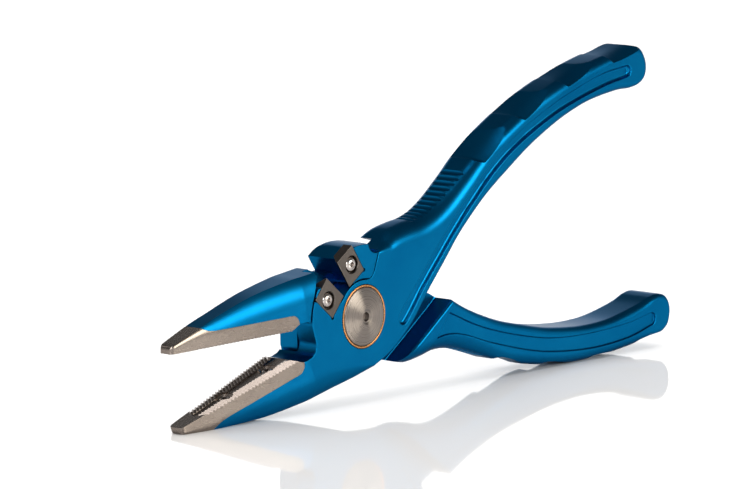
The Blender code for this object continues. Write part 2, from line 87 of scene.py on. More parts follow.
# Outline of a lever, all round: (x, z, width of the edge's rounding, depth of the rounding)
GRIP = [(TIP_X, GRIP_Z, 0.12, 0.12), (-60.0, GRIP_Z, 0.1, 0.1), (-26.4, GRIP_Z, 0.1, 0.1),
        (-24.3, -1.5, 0.1, 0.1), (-23.2, -1.75, 0.12, 0.12)]
HANDLE_OUTER = [(14.7, 14.4, 3.4, 3.4), (19, 15.4, 4.4, 4.4), (24.5, 15.0, 4.8, 4.8),
                (29.5, 14.2, 4.9, 4.9), (35, 14.3, 4.8, 4.8), (41, 15.6, 4.6, 4.6),
                (49, 18.2, 4.0, 4.0), (55, 20.3, 3.4, 3.4), (63, 22.6, 3.1, 3.1),
                (74, 24.8, 3.1, 3.1), (86, 26.2, 3.1, 3.1), (98, 26.5, 3.1, 3.1),
                (110, 25.9, 2.9, 2.9), (120, 24.8, 2.5, 2.5)]
HANDLE_BUTT = [(120, 24.8, 2.6, 2.6), (125.2, 24.1, 2.0, 2.0), (128.4, 22.2, 1.8, 1.8),
               (129.5, 19.0, 1.6, 1.6), (129.2, 16.0, 1.5, 1.5), (127.4, 13.6, 1.5, 1.5),
               (124.4, 12.8, 1.6, 1.6), (121, 13.2, 1.8, 1.8)]
HANDLE_INNER = [(121, 13.2, 1.8, 1.8), (115.5, 14.7, 2.1, 2.1), (105, 16.4, 2.2, 2.2),
                (97, 16.8, 2.2, 2.2), (88, 16.4, 2.2, 2.2), (76, 14.8, 2.1, 2.1),
                (64.7, 12.2, 2.0, 2.0), (56, 9.9, 1.9, 1.9), (48.2, 7.1, 1.7, 1.7),
                (41, 4.0, 1.4, 1.4), (34.3, 0.4, 1.0, 1.0), (25, -4.6, 0.6, 0.6),
                (17, -9.4, 0.4, 0.4), (10, -12.2, 0.35, 0.35), (5, -13.4, 0.35, 0.35),
                (0, -14.0, 0.5, 0.4)]
JAW_OUTER = [(0, -14.0, 0.5, 0.4), (-7, -14.0, 3.8, 1.4), (-14, -13.6, 6.0, 2.2),
             (-20, -13.1, 6.6, 2.4), (-26, -12.5, 6.6, 2.5), (-38, -10.5, 6.1, 2.6),
             (-50, -7.3, 4.4, 2.2), (-56.8, -5.2, 2.2, 1.2), (-65.0, -2.5, 1.1, 0.9),
             (-65.9, -2.0, 0.8, 0.7), (-66.35, -1.3, 0.5, 0.5), (TIP_X, GRIP_Z, 0.12, 0.12)]


# Outlines

def curve_through(points, spacing=0.9):
    """Catmull-Rom curve through points of any dimension, at about even spacing."""
    pts = [tuple(p) for p in points]
    size = len(pts[0])
    first = tuple(2 * a - b for a, b in zip(pts[0], pts[1]))
    last = tuple(2 * a - b for a, b in zip(pts[-1], pts[-2]))
    padded = [first] + pts + [last]
    curve = []
    for i in range(1, len(pts)):
        p0, p1, p2, p3 = padded[i - 1:i + 3]
        steps = max(1, math.ceil(math.dist(p1[:2], p2[:2]) / spacing))
        for k in range(steps):
            t = k / steps
            curve.append(tuple(0.5 * (2 * p1[j] + (p2[j] - p0[j]) * t
                                      + (2 * p0[j] - 5 * p1[j] + 4 * p2[j] - p3[j]) * t * t
                                      + (3 * p1[j] - p0[j] - 3 * p2[j] + p3[j]) * t ** 3)
                               for j in range(size)))
    curve.append(pts[-1])
    return curve


def arc(centre, radius, start, end, steps, extra=()):
    """Points of an arc between two angles in degrees, each followed by the extra values."""
    points = []
    for k in range(steps + 1):
        a = math.radians(start + (end - start) * k / steps)
        points.append((centre[0] + radius * math.cos(a), centre[1] + radius * math.sin(a), *extra))
    return points


def polar(radius, angle):
    """Point at a radius and an angle in degrees about the pivot."""
    return (radius * math.cos(math.radians(angle)), radius * math.sin(math.radians(angle)))


def on_cutting_line(radial, side):
    """A point by its distance along the cutting line and to the left of it."""
    a = math.radians(CUTTING_LINE)
    return (radial * math.cos(a) - side * math.sin(a), radial * math.sin(a) + side * math.cos(a))


def cutter_centre(side):
    """Where a cutter's screw stands: side is 1 for the front cutter and -1 for the rear one."""
    return on_cutting_line(14.0, side * 4.1)


def lever_outline():
    """Whole half with its insert; each point carries the size of its edge rounding."""
    small = (0.25, 0.25)
    throat = arc((-21.6, 1.4), 3.1, -90, 0, 12, small)
    crown = arc((0, 0), PLATE_RADIUS, 163, 135, 14, small)
    top = [(-9, 14.0, *small), (0, 14.0, *small), (8, 13.7, *small), (12.4, 13.9, 1.6, 1.6)]
    rim = curve_through(HANDLE_OUTER)[:-1] + curve_through(HANDLE_BUTT, 0.7)[:-1]
    rim += curve_through(HANDLE_INNER)[:-1] + curve_through(JAW_OUTER, 0.8)[:-1]
    return GRIP + throat + crown + top + rim


# Meshes

def link(mesh, name):
    """New object in the scene with this mesh."""
    obj = bpy.data.objects.new(name, mesh)
    bpy.context.scene.collection.objects.link(obj)
    return obj


def from_bmesh(bm, name):
    """New object from a bmesh, which is used up; its faces are turned outwards."""
    bmesh.ops.recalc_face_normals(bm, faces=bm.faces)
    mesh = bpy.data.meshes.new(name)
    bm.to_mesh(mesh)
    bm.free()
    return link(mesh, name)


def loft(name, rings):
    """Closed solid through rings of (x, y, z) points, all of one length, capped at both ends."""
    bm = bmesh.new()
    rings = [[bm.verts.new(point) for point in ring] for ring in rings]
    count = len(rings[0])
    for ring, following in zip(rings, rings[1:]):
        for i in range(count):
            j = (i + 1) % count
            bm.faces.new((ring[i], ring[j], following[j], following[i]))
    bm.faces.new(rings[0])
    bm.faces.new(rings[-1][::-1])
    return from_bmesh(bm, name)


def inward_normals(points):
    """Inward normals of a closed outline, lengthened at corners so that offsets stay parallel."""
    count = len(points)
    ahead = points[1:] + points[:1]
    area = sum(p[0] * q[1] - q[0] * p[1] for p, q in zip(points, ahead))
    turn = 1 if area > 0 else -1
    sides = []
    for p, q in zip(points, ahead):
        side = Vector((-(q[1] - p[1]), q[0] - p[0])) * turn
        sides.append(side.normalized())
    normals = []
    for i in range(count):
        mean = (sides[i - 1] + sides[i]).normalized()
        normals.append(mean / max(0.5, mean.dot(sides[i])))
    return normals


def stack(name, outline, layers):
    """Closed solid from copies of an outline: each layer is (inset, y), single or per point."""
    normals = inward_normals(outline)
    rings = []
    for inset, y in layers:
        ring = []
        for i, point in enumerate(outline):
            d = inset[i] if isinstance(inset, list) else inset
            depth = y[i] if isinstance(y, list) else y
            ring.append((point[0] + normals[i].x * d, depth, point[1] + normals[i].y * d))
        rings.append(ring)
    return loft(name, rings)


def rounding(outline, steps=7):
    """Layers of a rounded edge, from the flat face inwards: lists of (inset, drop) per point."""
    layers = []
    for k in range(steps + 1):
        insets, drops = [], []
        for point in outline:
            width = point[2]
            depth = min(point[3], width)
            radius = (width ** 2 + depth ** 2) / (2 * depth)
            angle = math.asin(min(1.0, width / radius)) * k / steps
            insets.append(width - radius * math.sin(angle))
            drops.append(radius * (1 - math.cos(angle)))
        layers.append((insets, drops))
    return layers


def pillow(name, outline, half):
    """Thick solid whose two rims are rounded as the outline's points say."""
    layers = rounding(outline)
    front = [(inset, [-half + d for d in drop]) for inset, drop in layers]
    back = [(inset, [half - d for d in drop]) for inset, drop in reversed(layers)]
    return stack(name, outline, front + back)


def slab(name, outline, y0, y1, edge=0.0):
    """Flat solid between y0 and y1 with a small rounded rim on the y0 side."""
    if not edge:
        return stack(name, outline, [(0, y0), (0, y1)])
    layers = [(edge * (1 - math.sin(a)), y0 + edge * (1 - math.cos(a)))
              for a in (0, math.pi / 6, math.pi / 3, math.pi / 2)]
    return stack(name, outline, layers + [(0, y1)])


def recess(name, outline, face, depth, flare, fillet):
    """Tool for a pocket in a face at y = face, with an eased rim and a filleted floor."""
    way = 1 if face < 0 else -1
    layers = [(-flare - 0.6, face - way * 0.6)]
    for angle in (90, 68, 45, 22, 0):
        a = math.radians(angle)
        layers.append((-flare * (1 - math.cos(a)), face + way * flare * (1 - math.sin(a))))
    for angle in (0, 30, 60, 90):
        a = math.radians(angle)
        layers.append((fillet * (1 - math.cos(a)),
                       face + way * (depth - fillet * (1 - math.sin(a)))))
    return stack(name, outline, layers)


def circle(radius, sides, centre=(0, 0)):
    return [(centre[0] + radius * math.cos(2 * math.pi * k / sides),
             centre[1] + radius * math.sin(2 * math.pi * k / sides)) for k in range(sides)]


def turned(name, profile, sides=96, at=(0, 0), axis="Y"):
    """Solid turned from (radius, height) points, which end on the axis or close on themselves."""
    bm = bmesh.new()
    rings = []
    for radius, height in profile:
        if radius < 1e-6:
            rings.append([bm.verts.new((0, height, 0))])
            continue
        rings.append([bm.verts.new((x, height, z)) for x, z in circle(radius, sides)])
    pairs = list(zip(rings, rings[1:]))
    if profile[0][0] > 1e-6:
        pairs.append((rings[-1], rings[0]))
    for a, b in pairs:
        for i in range(sides):
            j = (i + 1) % sides
            if len(a) == 1:
                bm.faces.new((a[0], b[j], b[i]))
            elif len(b) == 1:
                bm.faces.new((a[i], a[j], b[0]))
            else:
                bm.faces.new((a[i], a[j], b[j], b[i]))
    if axis == "Z":
        bm.transform(Matrix.Rotation(math.pi / 2, 4, "X"))
    offset = (at[0], 0, at[1]) if axis == "Y" else (at[0], at[1], 0)
    bm.transform(Matrix.Translation(offset))
    return from_bmesh(bm, name)


def apply_modifiers(obj):
    bpy.context.view_layer.update()
    evaluated = obj.evaluated_get(bpy.context.evaluated_depsgraph_get())
    mesh = bpy.data.meshes.new_from_object(evaluated)
    obj.modifiers.clear()
    obj.data = mesh


def combine(obj, tool, operation="DIFFERENCE"):
    """Cut the tool from the object, or join or intersect them; the tool is used up."""
    cut = obj.modifiers.new("Cut", "BOOLEAN")
    cut.operation = operation
    cut.solver = "EXACT"
    cut.object = tool
    apply_modifiers(obj)
    bpy.data.objects.remove(tool, do_unlink=True)


def merged(name, objects):
    """One mesh from separate bodies that don't touch."""
    bm = bmesh.new()
    for obj in objects:
        bm.from_mesh(obj.data)
        bpy.data.objects.remove(obj, do_unlink=True)
    return from_bmesh(bm, name)


def duplicate(obj, name):
    return link(obj.data.copy(), name)


def turn_over(obj):
    """Turn a piece half round the X axis, from the front half's place to the rear half's."""
    obj.data.transform(Matrix.Rotation(math.pi, 4, "X"))
    return obj


def taper_jaw(obj):
    """Thin the jaw towards its tip, and round the corners of the tip."""
    bm = bmesh.new()
    bm.from_mesh(obj.data)
    for x in (TAPER_START, -64.6, -65.2, -65.6, -65.9, -66.1, -66.25):
        bmesh.ops.bisect_plane(bm, geom=bm.verts[:] + bm.edges[:] + bm.faces[:],
                               plane_co=(x, 0, 0), plane_no=(1, 0, 0))
    run = TAPER_START - TIP_X
    corner_start = -64.9
    corner = 1.5
    tip_half = TIP_THICKNESS / 2 + 0.11
    for vert in bm.verts:
        along = max(0.0, TAPER_START - vert.co.x) / run
        vert.co.y *= 1 - along * (1 - TIP_THICKNESS / (2 * HALF))
        past = min(1.0, max(0.0, corner_start - vert.co.x) / corner)
        if past > 0:
            trim = corner * (1 - math.sqrt(1 - past ** 2)) * 0.9
            vert.co.y *= (tip_half - trim) / tip_half
    bm.to_mesh(obj.data)
    bm.free()


# The lever

OUTER_CURVE = curve_through(HANDLE_OUTER + HANDLE_BUTT[1:3], 0.5)


def outer_height(x):
    """Height of the handle's outer edge at x, on its smooth curve."""
    for a, b in zip(OUTER_CURVE, OUTER_CURVE[1:]):
        if a[0] <= x <= b[0]:
            return a[1] + (b[1] - a[1]) * (x - a[0]) / max(1e-6, b[0] - a[0])
    return OUTER_CURVE[-1][1]


def scallop(start):
    """Finger scallop: a steep ledge, then a floor that rises slowly; deepest at the outer face."""
    a = Vector((start, outer_height(start)))
    end = start + SCALLOP_RUN
    b = Vector((end, outer_height(min(end, 127.0))))
    along = (b - a).normalized()
    up = Vector((-along.y, along.x))
    floor = [(-0.1, 0.5), (0.05, -0.3), (0.5, -0.6), (1.4, -0.78), (3.0, -0.78), (5.5, -0.65),
             (8.5, -0.38), (11.5, 0.0), (14.0, 0.35), (15.0, 0.6)]
    shape = [(-0.05, 4.0)] + curve_through(floor, 0.5) + [(15.2, 4.0)]
    outline = [tuple(a + along * t + up * h) for t, h in shape]
    # Below the surface the floor sinks towards both faces, most of all at the outer one
    sinking = [min(1.0, max(0.0, (t + 0.1) / 1.8)) if h < 3 else 0.0 for t, h in shape]
    layers = []
    for y in (-8, -6.1, -5.5, -4.8, -4.0, -3.0, -1.8, 0, 1.8, 3.0, 4.0, 4.8, 5.5, 6.1, 8):
        deeper = (1.5 if y < 0 else 0.1) * min(1.0, abs(y) / HALF) ** 2
        layers.append(([-deeper * share for share in sinking], y))
    return stack("scallop", outline, layers)


def ribs():
    """Row of shallow ball-milled grooves across the outer edge."""
    mill_radius = 0.9
    lift = 0.45
    grooves = []
    for k in range(RIB_COUNT):
        x = RIB_START + RIB_PITCH * k
        slope = math.atan2(outer_height(x + 1) - outer_height(x - 1), 2)
        centre = (x - lift * math.sin(slope), outer_height(x) + lift * math.cos(slope))
        grooves.append(slab("rib", circle(mill_radius, 20, centre), -8, 8))
    return merged("ribs", grooves)


def front_channel():
    """Channel down the outer face, from a narrow round end beside the pivot to the butt."""
    outer = curve_through([(13.2, -5.3), (31.6, 4.9), (43.5, 11.0), (58, 17.0), (71, 20.5),
                           (84, 22.0), (95, 22.5), (110, 22.0), (120.4, 20.2)], 2.0)
    inner = curve_through([(120.2, 17.0), (110, 18.5), (95, 19.4), (84, 19.1), (71, 17.6),
                           (60, 14.8), (49, 10.3), (40, 6.0), (33, 2.2), (24.3, -2.6),
                           (15.3, -8.3)], 2.0)
    ends = arc((120.3, 18.6), 1.6, 75, -75, 8), arc((14.1, -6.85), 1.75, 305, 125, 10)
    outline = outer[:-1] + ends[0] + inner[1:-1] + ends[1]
    return recess("channel", outline, -HALF, 1.05, flare=0.32, fillet=0.8)


def back_channel():
    """Wider channel on the lap side; its floor rises to the face towards the pivot."""
    outer = curve_through([(28.6, 10.3), (33.5, 9.9), (40.2, 11.1), (52, 15.2), (72, 20.6),
                           (92.7, 23.1), (109.8, 22.8), (120.6, 20.9)], 2.0)
    inner = curve_through([(120.4, 17.4), (109.9, 18.7), (92.8, 18.9), (76.2, 17.6), (60, 14.0),
                           (46, 9.6), (34.0, 4.2)], 2.0)
    outline = outer[:-1] + arc((120.4, 19.15), 1.75, 80, -80, 8) + inner[1:]
    channel = recess("channel", outline, HALF, 0.7, flare=0.3, fillet=0.35)
    ramp_up = slab("ramp", [(24.0, HALF - 1.6), (24.0, HALF + 0.2), (28.0, HALF + 0.02),
                            (37.0, HALF - 0.75), (37.0, HALF - 1.6)], -30, 30)
    swap_y_and_z = Matrix(((1, 0, 0, 0), (0, 0, 1, 0), (0, 1, 0, 0), (0, 0, 0, 1)))
    ramp_up.data.transform(swap_y_and_z)
    combine(channel, ramp_up)
    return channel


def lap_room():
    """Room in one half for the other's plate; the step's edge is rounded, its foot filleted."""
    root = arc((0, 0), ROOT_RADIUS, 150, 218.5, 34)
    root += curve_through([(-15.75, -12.65), (-16.05, -13.1), (-16.6, -13.45), (-17.6, -13.9)], 0.4)
    root += [(-18.5, -16)]
    step = curve_through([(38, -0.8), (27, 6.6), (18.5, 12.2), (11.8, 16.5)], 1.2)
    outline = root + [(-6, -30), (45, -30), (45, -6)] + step + [(8, 26), (-14, 26)]
    rims = [0.8 if (p[0] > 8 and p[1] > -3) else 0.16 for p in outline]
    layers = [(0.4, -LAP), (0.12, -LAP + 0.12), (0.0, -LAP + 0.4)]
    for angle in (0, 25, 50, 72, 90):
        a = math.radians(angle)
        layers.append(([-r * (1 - math.cos(a)) for r in rims],
                       [HALF - r * (1 - math.sin(a)) for r in rims]))
    layers.append(([-r for r in rims], HALF + 2))
    return stack("lap", outline, layers)


def insert_region(grow):
    """Part of the jaw that is steel, grown by a little: its outline is the seam."""
    seam = [(-62.0, -7.6), (-58.2, -6.2), (-56.3, -5.35), (-54.9, -4.7), (-53.2, -4.25),
            (-50.5, SEAT_Z)]
    curve = curve_through(seam, 0.6) + arc((-26.4, SEAT_Z + 2.35), 2.35, -90, 0, 10)
    return stack("region", curve + [(-24.05, 3.0), (-72.0, 3.0), (-72.0, -7.6)],
                 [(-grow, -9), (-grow, 9)])


def lever():
    """One lever as both halves share it: its aluminium frame and its rough steel insert."""
    half_gap = 0.03
    body = pillow("frame", lever_outline(), HALF)
    taper_jaw(body)
    insert = duplicate(body, "insert")
    combine(insert, insert_region(-half_gap), "INTERSECT")
    combine(body, insert_region(half_gap))
    combine(body, lap_room())
    combine(body, merged("scallops", [scallop(x) for x in SCALLOP_X]))
    combine(body, ribs())
    combine(body, front_channel())
    combine(body, back_channel())
    rim, wall = BUSHING_RADIUS + 0.2, BUSHING_RADIUS + 0.04
    bore = turned("bore", [(0, -8), (rim, -8), (rim, -HALF), (wall, -HALF + 0.16), (wall, -4.1),
                           (5.3, -4.1), (5.3, -2.6), (7.4, -2.6), (7.4, 1), (0, 1)])
    combine(body, bore)
    return body, insert


# Jaw inserts

def strip_width(x):
    """Half width of the plain strip between the two rows of teeth."""
    table = ((-70, 0.8), (-59.5, 0.85), (-48, 1.05), (-36, 1.75), (-26, 2.5), (-20, 2.8))
    for (x0, w0), (x1, w1) in zip(table, table[1:]):
        if x0 <= x <= x1:
            return w0 + (w1 - w0) * (x - x0) / (x1 - x0)
    return table[-1][1]


def grip_teeth():
    """V grooves of the two rows of teeth, which lean back from the plain middle strip."""
    grooves = []
    lean = 0.85
    top = GRIP_Z + 0.5
    edge = GRIP_Z + 0.03
    shape = ((0.03, top), (0.03, edge), (0.68 * TOOTH_PITCH, GRIP_Z - 0.5),
             (TOOTH_PITCH - 0.05, edge), (TOOTH_PITCH - 0.05, top))
    for side in (-1, 1):
        for k in range(TOOTH_COUNT):
            start = TEETH_START + TOOTH_PITCH * k
            inner = strip_width(start)
            ends = []
            for y in (inner, 7.5):
                x = start + lean * (y - inner)
                ends.append([(x + px, side * y, pz) for px, pz in shape])
            grooves.append(loft("groove", ends))
    return merged("teeth", grooves)


def middle_strip():
    """Shallow round-bottomed channel between the rows of teeth, widening to the back."""
    rings = []
    for x in (TEETH_START, -58.8, -54, -48, -42, -36, -31, -26, -23.0):
        width = (strip_width(x) + 0.12) * (0.3 if x < -59 else 1.0)
        ring = []
        for k in range(13):
            t = -1 + k / 6
            ring.append((x, t * width, GRIP_Z - 0.5 * (1 - t ** 6) + 0.02))
        rings.append(ring + [(x, width, 1.0), (x, -width, 1.0)])
    return loft("strip", rings)


def finish_insert(insert):
    """Cut the strip, the teeth and the screws' countersinks."""
    combine(insert, middle_strip())
    combine(insert, grip_teeth())
    for x in JAW_SCREW_X:
        sink = turned("sink", [(0, 2), (2.4, 2), (2.4, -0.9), (1.75, -1.7), (1.75, -2.3),
                               (1.0, -2.3), (1.0, -8), (0, -8)], 48, (x, 0), "Z")
        combine(insert, sink)


def jaw_screw(name, x):
    """Low button head with a hexagon socket, sunk in the insert."""
    body = turned(name, [(0, -6.2), (0.85, -6.2), (0.85, -2.25), (1.66, -2.25), (1.66, -1.75),
                         (1.55, -1.35), (1.25, -1.05), (0.95, -0.92), (0.86, -0.98), (0, -0.98)],
                  40, (x, 0), "Z")
    socket = turned("socket", [(0, -1.9), (SMALL_SOCKET, -1.7), (SMALL_SOCKET, 0), (0, 0)], 6,
                    (x, 0), "Z")
    combine(body, socket)
    return body


# Cutters

def cutter(name, side):
    """Carbide block with fine chamfered edges; its cutting side is ground back."""
    corners = [(CUTTER_NEAR, CUTTER_GAP), (CUTTER_FAR, CUTTER_GAP), (CUTTER_FAR, CUTTER_WIDTH),
               (CUTTER_NEAR, CUTTER_WIDTH)]
    outline = [on_cutting_line(r, side * s) for r, s in corners]
    body = slab(name, outline, -HALF - 0.02, -HALF + 2.8, 0.09)
    sink = turned("sink", [(0, -9), (2.45, -9), (2.45, -HALF), (2.3, -HALF + 0.15),
                           (2.3, -HALF + 1.35), (1.1, -HALF + 1.4), (1.1, 0), (0, 0)], 64,
                  cutter_centre(side))
    combine(body, sink)
    ends = []
    for radial in (CUTTER_NEAR - 2, CUTTER_FAR + 2):
        section = []
        for depth, across in ((0.3, -0.5), (3.4, -0.5), (3.4, 2.6), (0.3, -0.2)):
            x, z = on_cutting_line(radial, side * (CUTTER_GAP + across))
            section.append((x, -HALF + depth, z))
        ends.append(section)
    combine(body, loft("grind", ends))
    return body


def cutter_screw(name, side):
    """Button head on the cutter's step, with a hexagon socket."""
    step = -HALF + 1.3
    foot = -1.1 if side > 0 else 1.5
    profile = [(0, foot), (0.85, foot), (0.85, step), (1.98, step), (2.02, step - 0.25),
               (1.95, step - 0.6), (1.75, step - 0.95), (1.45, step - 1.22), (1.1, step - 1.4),
               (0.95, step - 1.44), (0.82, step - 1.34), (0, step - 1.34)]
    body = turned(name, profile, 64, cutter_centre(side))
    socket = turned("socket", [(0, step - 3), (SMALL_SOCKET, step - 3), (SMALL_SOCKET, step - 0.5),
                               (0, step - 0.3)], 6, cutter_centre(side))
    combine(body, socket)
    return body


def cutter_pocket(body, side):
    """Pocket for a cutter, with relief holes at its two inner corners and a screw hole."""
    floor = -HALF + 2.9
    corners = [(9.75, -4.0), (18.35, -4.0), (18.35, 6.95), (9.75, 6.95)]
    outline = [on_cutting_line(r, side * s) for r, s in corners]
    combine(body, slab("pocket", outline, -9, floor))
    for radial in (9.95, 18.0):
        corner = circle(0.55, 24, on_cutting_line(radial, side * 6.75))
        combine(body, slab("corner", corner, -9, floor))
    screw_end = -0.9 if side > 0 else 4.0
    combine(body, slab("hole", circle(1.0, 24, cutter_centre(side)), -9, screw_end))


def notch():
    """Room in the front plate for the cutter lug, with rounded inner corners."""
    inner = arc((0, 0), 9.4, 116, 66, 16)
    foot = [polar(9.5, 62.5), polar(9.75, 58), polar(10.3, 54.2), polar(11.2, 52.2)]
    right = [polar(12.2, 51.6), polar(17.5, 51.6), (10, 30)]
    left = [on_cutting_line(30, 1.9), on_cutting_line(9.4, 1.9)]
    return stack("notch", inner + curve_through(foot, 0.4) + right + left,
                 [(-0.9, -HALF - 0.75), (-0.15, -HALF), (-0.04, -HALF + 0.06), (0, -HALF + 0.2),
                  (0, 2)])


def lug():
    """Cutter lug of the rear half: rounded in front by its layers, behind by a turned limit."""
    back = HALF - 0.04
    crown_radius, crown_round = 18.56, 2.0
    small = (0.3, 0.3)
    inner = arc((0, 0), 9.7, 76, 112, 12, small)
    left = [(*on_cutting_line(9.9, -2.1), 0.1, 0.1), (*on_cutting_line(17.1, -2.1), *small),
            (-4.6, 17.95, *small)]
    crown = arc((0, 0), 18.6, 99.5, 70.5, 20, small)
    right = [(*polar(18.1, 69.2), *small), (*polar(17.2, 68.6), *small),
             (*polar(11.6, 68.6), *small), (*polar(10.5, 70.3), *small),
             (*polar(9.85, 73.2), *small)]
    outline = inner + left + crown + right
    rim = rounding(outline, 4)
    layers = [(inset, [-HALF + d for d in drop]) for inset, drop in rim]
    body = stack("lug", outline, layers + [(0, HALF - 0.02)])
    limit = [(0, -9), (crown_radius, -9)]
    for angle in (0, 18, 36, 54, 72, 90):
        a = math.radians(angle)
        limit.append((crown_radius - crown_round * (1 - math.cos(a)),
                      back - crown_round * (1 - math.sin(a))))
    combine(body, turned("crown", limit + [(0, back)], 180), "INTERSECT")
    scoop = turned("scoop", [(0, -9), (3.3, -9), (3.3, -3.6), (3.05, -2.8), (2.4, -2.2), (0, -1.9)],
                   48, (5.4, 18.9))
    combine(body, scoop)
    return body


def wire_gap():
    """Opening between the rear half's jaw and its lug, for the wire being cut."""
    edge = curve_through([(-14.9, 14.2), (-13.4, 13.25), (-12.0, 12.8), (-10.6, 12.3),
                          (-9.8, 11.75), (-9.0, 11.45), (-7.9, 11.25)], 0.5)
    return slab("gap", edge + [on_cutting_line(12.2, -2.2), on_cutting_line(19, -2.2),
                               (-14.6, 19)], -9, 9)


# Pivot

def pivot_bolt():
    """Low domed disc head with a hexagon socket, on its shank."""
    face = -HALF - 0.1
    dome = [(r, face - 0.1 - 0.9 * (1 - ((r - 2.1) / 5.2) ** 1.6)) for r in
            (7.3, 6.6, 5.8, 5.0, 4.2, 3.4, 2.7, 2.1)]
    profile = [(0, 4.2), (2.5, 4.2), (2.5, face + 0.95), (HEAD_RADIUS, face + 0.95),
               (HEAD_RADIUS, face + 0.1), (7.45, face - 0.02), (7.38, face - 0.08)]
    profile += dome + [(2.0, face - 0.99), (1.5, face - 0.62), (0, face - 0.62)]
    body = turned("pivot_bolt_disc", profile, 128)
    socket = turned("socket", [(0, -12), (PIVOT_SOCKET, -12), (PIVOT_SOCKET, face + 0.6),
                               (0, face + 0.9)], 6)
    combine(body, socket)
    return body


def pivot_nut():
    """Disc of the back with its sleeve round the shank."""
    face = HALF + 0.1
    profile = [(0, face + 0.5), (1.5, face + 0.5), (2.0, face + 0.55), (2.1, face + 0.5),
               (4.0, face + 0.42), (6.0, face + 0.24), (7.3, face + 0.06), (7.45, face),
               (HEAD_RADIUS, face - 0.1), (HEAD_RADIUS, face - 0.95), (4.0, face - 0.95),
               (4.0, -4.9), (2.8, -4.9), (2.8, 4.6), (0, 4.6)]
    body = turned("pivot_nut_disc", profile, 128)
    socket = turned("socket", [(0, face - 0.4), (PIVOT_SOCKET, face - 0.2), (PIVOT_SOCKET, 12),
                               (0, 12)], 6)
    combine(body, socket)
    return body


def bushing(name):
    """Flanged bushing whose thin rim shows round the disc."""
    floor = -HALF + 1.9
    profile = [(5.0, -2.9), (5.0, floor), (BUSHING_RADIUS, floor), (BUSHING_RADIUS, -HALF - 0.02),
               (8.11, -HALF - 0.1), (8.03, -HALF - 0.14), (7.8, -HALF - 0.14), (7.7, -HALF - 0.1),
               (7.64, -HALF + 0.02), (7.64, floor - 0.65), (4.3, floor - 0.65), (4.3, -2.9)]
    return turned(name, profile, 128)


# Materials

def nodes_of(name):
    """New material with its node tree and its Principled shader."""
    mat = bpy.data.materials.new(name)
    mat.use_nodes = True
    tree = mat.node_tree
    return mat, tree, tree.nodes["Principled BSDF"]


def noise(tree, scale, detail=3.0, stretch=(1, 1, 1)):
    """Noise over the piece's own metres."""
    where = tree.nodes.new("ShaderNodeTexCoord")
    mapping = tree.nodes.new("ShaderNodeMapping")
    mapping.inputs["Scale"].default_value = stretch
    texture = tree.nodes.new("ShaderNodeTexNoise")
    texture.inputs["Scale"].default_value = scale
    texture.inputs["Detail"].default_value = detail
    tree.links.new(where.outputs["Object"], mapping.inputs["Vector"])
    tree.links.new(mapping.outputs["Vector"], texture.inputs["Vector"])
    return texture.outputs["Fac"]


def ramp(tree, factor, low, high, start=0.3, end=0.7):
    """Factor mapped to a number between low and high."""
    node = tree.nodes.new("ShaderNodeMapRange")
    for name, value in (("From Min", start), ("From Max", end), ("To Min", low), ("To Max", high)):
        node.inputs[name].default_value = value
    tree.links.new(factor, node.inputs["Value"])
    return node.outputs["Result"]


def mix(tree, factor, a, b):
    """Colour between a and b, each a plain colour or another node's output."""
    node = tree.nodes.new("ShaderNodeMix")
    node.data_type = "RGBA"
    for socket, value in ((node.inputs[6], a), (node.inputs[7], b)):
        if isinstance(value, tuple):
            socket.default_value = (*value, 1)
        else:
            tree.links.new(value, socket)
    tree.links.new(factor, node.inputs[0])
    return node.outputs[2]


def bump(tree, shader, height, strength, distance):
    node = tree.nodes.new("ShaderNodeBump")
    node.inputs["Strength"].default_value = strength
    node.inputs["Distance"].default_value = distance
    tree.links.new(height, node.inputs["Height"])
    tree.links.new(node.outputs["Normal"], shader.inputs["Normal"])


def painted_edge_highlight_and_wear(tree):
    """Share of painted edge highlight and wear: strongest where the surface bends over an edge,
    broken up by noise.
    """
    geometry = tree.nodes.new("ShaderNodeNewGeometry")
    bevel = tree.nodes.new("ShaderNodeBevel")
    bevel.samples = 4
    bevel.inputs["Radius"].default_value = EDGE_HIGHLIGHT_AND_WEAR_RADIUS
    agree = tree.nodes.new("ShaderNodeVectorMath")
    agree.operation = "DOT_PRODUCT"
    tree.links.new(geometry.outputs["Normal"], agree.inputs[0])
    tree.links.new(bevel.outputs["Normal"], agree.inputs[1])
    edges = ramp(tree, agree.outputs["Value"], 1.0, 0.0, 0.72, 0.97)
    node = tree.nodes.new("ShaderNodeMath")
    node.operation = "MULTIPLY"
    tree.links.new(edges, node.inputs[0])
    tree.links.new(ramp(tree, noise(tree, 700, 4), 0.2, 1.0), node.inputs[1])
    return node.outputs["Value"]


def metal(name, dark, light, roughness, grain, stretch=(1, 1, 1), bump_height=0.000004,
          edge_highlight_and_wear_colour=None, strength=0.5):
    """Metal with patchy colour, fine grain in its roughness and bump, and, if asked, edges
    lightened by a painted highlight together with wear.
    """
    mat, tree, shader = nodes_of(name)
    shader.inputs["Metallic"].default_value = 1.0
    patchy = ramp(tree, noise(tree, 60, 4), 0.0, 1.0)
    colour = mix(tree, patchy, dark, light)
    if edge_highlight_and_wear_colour:
        # Lighter colour along edges: a painted edge highlight, together with wear
        colour = mix(tree, painted_edge_highlight_and_wear(tree), colour, edge_highlight_and_wear_colour)
    tree.links.new(colour, shader.inputs["Base Color"])
    fine = noise(tree, grain, 3, stretch)
    tree.links.new(ramp(tree, fine, roughness[0], roughness[1]), shader.inputs["Roughness"])
    bump(tree, shader, fine, strength, bump_height)
    return mat, tree, shader


